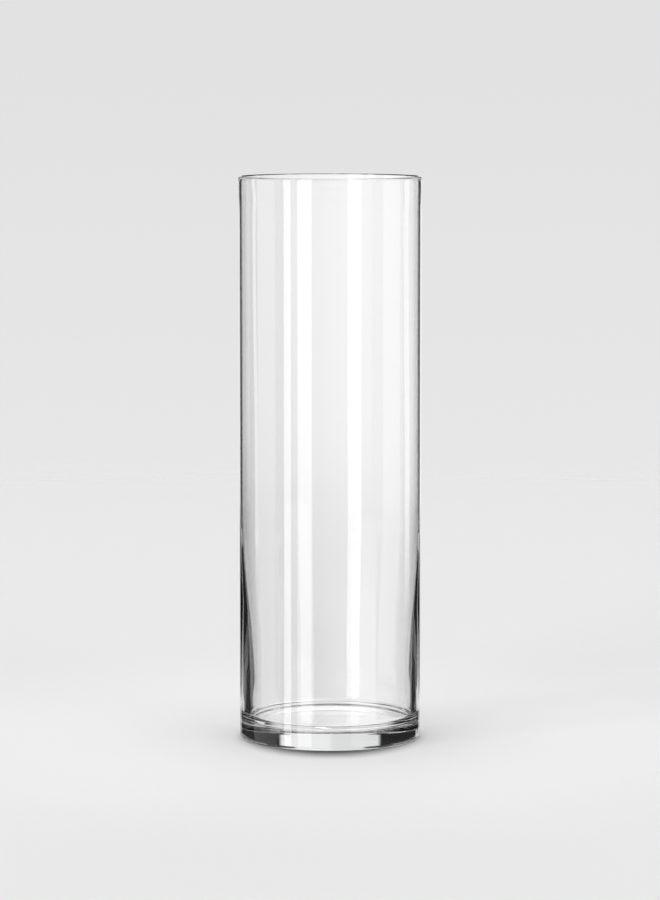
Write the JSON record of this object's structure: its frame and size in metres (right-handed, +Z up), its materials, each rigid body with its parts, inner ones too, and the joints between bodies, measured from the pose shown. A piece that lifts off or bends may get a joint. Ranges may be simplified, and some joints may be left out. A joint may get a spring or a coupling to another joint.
{
  "type": "cylinder vase",
  "caption": "Tall straight-sided round glass vase, open at the top, with a thick clear base.",
  "frame": {"origin": "centre of the foot, on the plane that the vase stands on", "axes": "+Z up along the vase's axis, out of its mouth; X and Y are free, because the vase is round"},
  "size_m": [0.0864, 0.0864, 0.266],
  "materials": {
    "clear_glass": "fire-polished clear soda-lime glass"
  },
  "bodies": {
    "root": {"vase": "clear_glass"}
  },
  "joints": []
}
